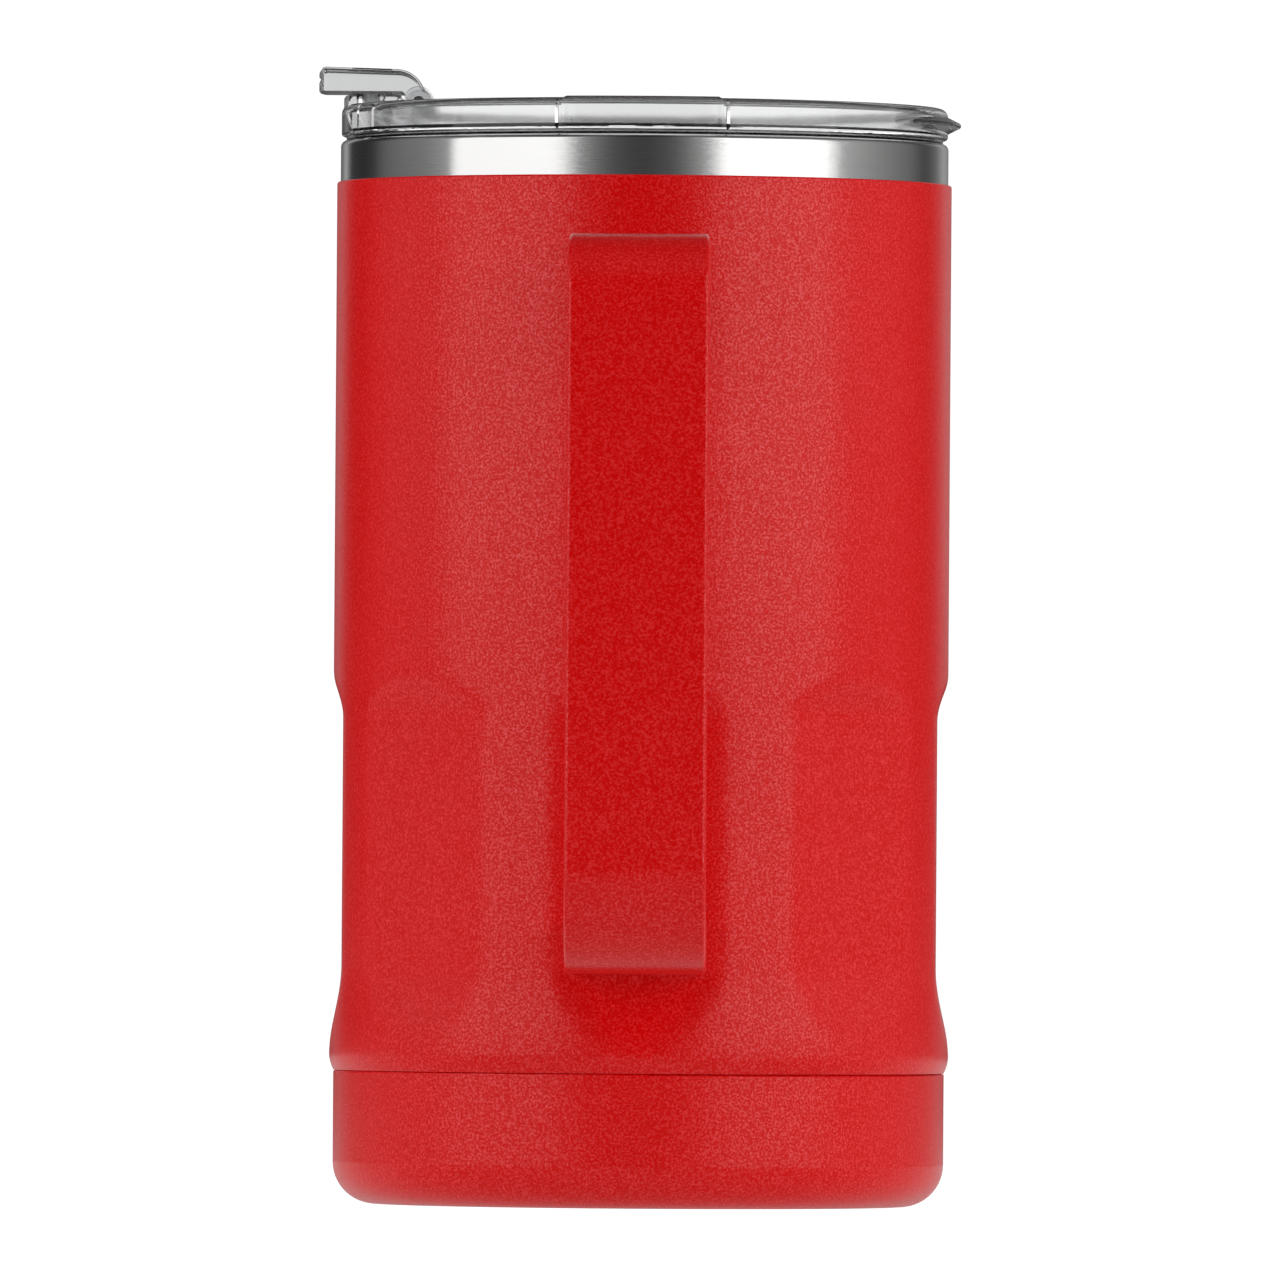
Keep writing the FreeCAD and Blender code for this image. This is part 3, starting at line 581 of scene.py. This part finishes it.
class TRAVELMUG_OT_frame_finishes(bpy.types.Operator):
    """Give every piece that comes from the frame its finish"""

    bl_idname = "travelmug.frame_finishes"
    bl_label = "Frame Finishes"

    def execute(self, context):
        """Assign one finish to each group of pieces."""
        finish = finishes()
        dress(["base_cup", "handle_outer", "handle_inner"], finish["coat"])
        dress(["inner_liner", "liner_base", "jacket_base", "getter_clip", "hinge_pin",
               "handle_foot_upper", "handle_foot_lower"], finish["steel"])
        dress(["lid_cover", "lid_plug", "flip_closure"], finish["plastic"])
        dress(["lid_gasket", "sip_stopper"], finish["silicone"])
        dress(["foot_pad"], finish["pad"])
        dress(["heat_foil"], finish["copper"])
        dress(["getter"], finish["getter"])
        dress(["vacuum_seal"], finish["solder_glass"])
        return {"FINISHED"}


# ---- stage ----
class TRAVELMUG_OT_stage(bpy.types.Operator):
    """Set the pale floor, the soft lights, the surroundings and the camera"""

    bl_idname = "travelmug.stage"
    bl_label = "Stage"

    def execute(self, context):
        """Build the studio."""
        size = context.scene.travel_mug_stage
        add_floor(size)
        for side in (-1, 1):
            add_lights(size, side)
        above = Vector((0, -size.top_forward, size.top_height))
        top = add_light(
            "top_light", size.side_size, size.side_size, size.top_power, above, RIM_TOP / 2)
        top.visible_glossy = False
        add_surroundings(context.scene, size)
        add_camera(context.scene, size)
        cycles = context.scene.cycles
        cycles.max_bounces = size.light_bounces
        cycles.glossy_bounces = size.light_bounces
        cycles.transmission_bounces = size.light_bounces
        context.scene.view_settings.view_transform = "Standard"
        context.scene.view_settings.look = "None"
        return {"FINISHED"}


def add_floor(size):
    """Lay a pale floor, white to the camera, that glows a little near the mug."""
    bm = bmesh.new()
    bmesh.ops.create_circle(bm, cap_ends=True, radius=size.floor_radius, segments=96)
    mesh = bpy.data.meshes.new("floor")
    bm.to_mesh(mesh)
    bm.free()
    floor = bpy.data.objects.new("floor", mesh)
    bpy.context.scene.collection.objects.link(floor)
    material, nodes, links, shader = new_material("pale_floor")
    shader.inputs["Base Color"].default_value = (0.3, 0.3, 0.3, 1)
    shader.inputs["Roughness"].default_value = 0.8
    shader.inputs["Specular IOR Level"].default_value = 0.0
    shader.inputs["Emission Color"].default_value = (1, 1, 1, 1)
    rays = node(nodes, "ShaderNodeLightPath")
    away = node(nodes, "ShaderNodeVectorMath", operation="LENGTH")
    links.new(object_coordinates(nodes, links), away.inputs[0])
    fade = spread(
        nodes, links, away.outputs["Value"], low=size.floor_glow, high=FAR_GLOW,
        start=GLOW_CORE, end=size.glow_reach)
    glow = spread(nodes, links, rays.outputs["Is Camera Ray"], low=0.0, high=1.0)
    links.new(fade, glow.node.inputs["To Min"])
    links.new(glow, shader.inputs["Emission Strength"])
    floor.data.materials.append(material)


def add_light(name, width, height, power, place, aim_height):
    """Hang a rectangular light that faces a height on the mug's axis, unseen by the camera."""
    light = bpy.data.lights.new(name, "AREA")
    light.shape = "RECTANGLE"
    light.size = width
    light.size_y = height
    light.energy = power
    lamp = bpy.data.objects.new(name, light)
    lamp.location = place
    lamp.rotation_mode = "QUATERNION"
    lamp.rotation_quaternion = (Vector((0, 0, aim_height)) - place).to_track_quat("-Z", "Y")
    lamp.visible_camera = False
    bpy.context.scene.collection.objects.link(lamp)
    return lamp


def place_round_mug(azimuth, distance, height):
    """Return a place at a turn round the mug from the camera's side."""
    return Vector((distance * math.sin(azimuth), -distance * math.cos(azimuth), height))


def add_lights(size, side):
    """Hang a softbox on one side of the mug, and a side light that no reflection shows."""
    reach = size.softbox_distance
    middle = size.softbox_height / 2
    front = place_round_mug(side * size.softbox_azimuth, reach, middle)
    power = size.softbox_power * (1 + side * size.softbox_balance)
    add_light("softbox", size.softbox_width, size.softbox_height, power, front, middle)
    flank = place_round_mug(side * size.side_azimuth, reach, size.side_rise)
    fill = add_light(
        "side_light", size.side_size, size.side_size, size.side_power, flank, RIM_TOP / 2)
    fill.visible_glossy = False


def walls_by_bearing(nodes, links, parts):
    """Return the walls' grey for a direction's bearing round the mug."""
    front = node(nodes, "ShaderNodeMath", operation="MULTIPLY")
    front.inputs[1].default_value = -1.0
    links.new(parts.outputs["Y"], front.inputs[0])
    bearing = node(nodes, "ShaderNodeMath", operation="ARCTAN2")
    links.new(parts.outputs["X"], bearing.inputs[0])
    links.new(front.outputs[0], bearing.inputs[1])
    share = spread(
        nodes, links, bearing.outputs[0], low=0.0, high=1.0, start=-math.pi, end=math.pi)
    walls = node(nodes, "ShaderNodeValToRGB")
    stops = walls.color_ramp.elements
    while len(stops) < len(STUDIO_WALLS):
        stops.new(0.5)
    for stop, (degrees, grey) in zip(stops, STUDIO_WALLS):
        stop.position = (degrees + 180) / 360
        stop.color = (grey, grey, grey, 1)
    links.new(share, walls.inputs["Fac"])
    return walls.outputs["Color"]


def add_surroundings(scene, size):
    """Paint the walls by bearing under a dim ceiling, and plain white for the camera's own view."""
    world = bpy.data.worlds.new("studio")
    scene.world = world
    world.use_nodes = True
    nodes, links = world.node_tree.nodes, world.node_tree.links
    direction = node(nodes, "ShaderNodeTexCoord")
    parts = node(nodes, "ShaderNodeSeparateXYZ")
    links.new(direction.outputs["Generated"], parts.inputs["Vector"])
    height = spread(
        nodes, links, parts.outputs["Z"], low=1.0, high=size.ceiling,
        start=math.sin(WALLS_END), end=math.sin(CEILING_START))
    height.node.interpolation_type = "SMOOTHSTEP"
    shade = node(nodes, "ShaderNodeVectorMath", operation="SCALE")
    links.new(walls_by_bearing(nodes, links, parts), shade.inputs[0])
    links.new(height, shade.inputs["Scale"])
    painted = nodes["Background"]
    links.new(shade.outputs[0], painted.inputs["Color"])
    seen = node(nodes, "ShaderNodeBackground", Strength=size.backdrop)
    seen.inputs["Color"].default_value = (1, 1, 1, 1)
    rays = node(nodes, "ShaderNodeLightPath")
    mix = node(nodes, "ShaderNodeMixShader")
    through = node(nodes, "ShaderNodeMath", operation="MAXIMUM")
    links.new(rays.outputs["Is Camera Ray"], through.inputs[0])
    links.new(rays.outputs["Is Transmission Ray"], through.inputs[1])
    links.new(through.outputs[0], mix.inputs[0])
    links.new(painted.outputs[0], mix.inputs[1])
    links.new(seen.outputs[0], mix.inputs[2])
    links.new(mix.outputs[0], nodes["World Output"].inputs["Surface"])


def add_camera(scene, size):
    """Stand the camera in front of the handle, at eye level low on the mug."""
    data = bpy.data.cameras.new("camera")
    data.lens = size.lens
    data.sensor_width = 36.0
    data.clip_end = 200.0
    camera = bpy.data.objects.new("camera", data)
    turn = size.camera_azimuth
    camera.location = place_round_mug(turn, size.camera_distance, size.camera_height)
    aim = Vector((math.cos(turn), math.sin(turn), 0)) * size.aim_side
    aim.z = size.aim_height
    look = (aim - camera.location).to_track_quat("-Z", "Y")
    camera.rotation_mode = "QUATERNION"
    camera.rotation_quaternion = look @ Quaternion((0, 0, 1), size.camera_roll)
    scene.collection.objects.link(camera)
    scene.camera = camera


# ---- add-on ----
OPERATORS = (
    TRAVELMUG_OT_coated_body,
    TRAVELMUG_OT_steel_rim,
    TRAVELMUG_OT_frame_finishes,
    TRAVELMUG_OT_stage,
)


class TRAVELMUG_PT_sidebar(bpy.types.Panel):
    """List the mug's pieces and settings"""

    bl_idname = "TRAVELMUG_PT_sidebar"
    bl_label = "Travel Mug"
    bl_space_type = "VIEW_3D"
    bl_region_type = "UI"
    bl_category = "Travel Mug"

    def draw(self, context):
        """Show one button for each operator, then the settings."""
        for operator in OPERATORS:
            self.layout.operator(operator.bl_idname)
        for group in ("travel_mug_body", "travel_mug_finish", "travel_mug_stage"):
            settings = getattr(context.scene, group)
            column = self.layout.column()
            for name in settings.bl_rna.properties.keys():
                if name not in ("rna_type", "name"):
                    column.prop(settings, name)


SETTINGS = {
    "travel_mug_body": TravelMugBodySettings,
    "travel_mug_finish": TravelMugFinishSettings,
    "travel_mug_stage": TravelMugStageSettings,
}


def register():
    """Register every class and hang the settings on the scene."""
    for kind in (*SETTINGS.values(), *OPERATORS, TRAVELMUG_PT_sidebar):
        bpy.utils.register_class(kind)
    for name, kind in SETTINGS.items():
        setattr(bpy.types.Scene, name, bpy.props.PointerProperty(type=kind))


def unregister():
    """Take the settings and classes away again."""
    for name in SETTINGS:
        delattr(bpy.types.Scene, name)
    for kind in (TRAVELMUG_PT_sidebar, *reversed(OPERATORS), *reversed(SETTINGS.values())):
        bpy.utils.unregister_class(kind)


def main():
    """Build the whole mug."""
    register()
    for operator in OPERATORS:
        group, action = operator.bl_idname.split(".")
        getattr(getattr(bpy.ops, group), action)()


if __name__ == "__main__":
    main()
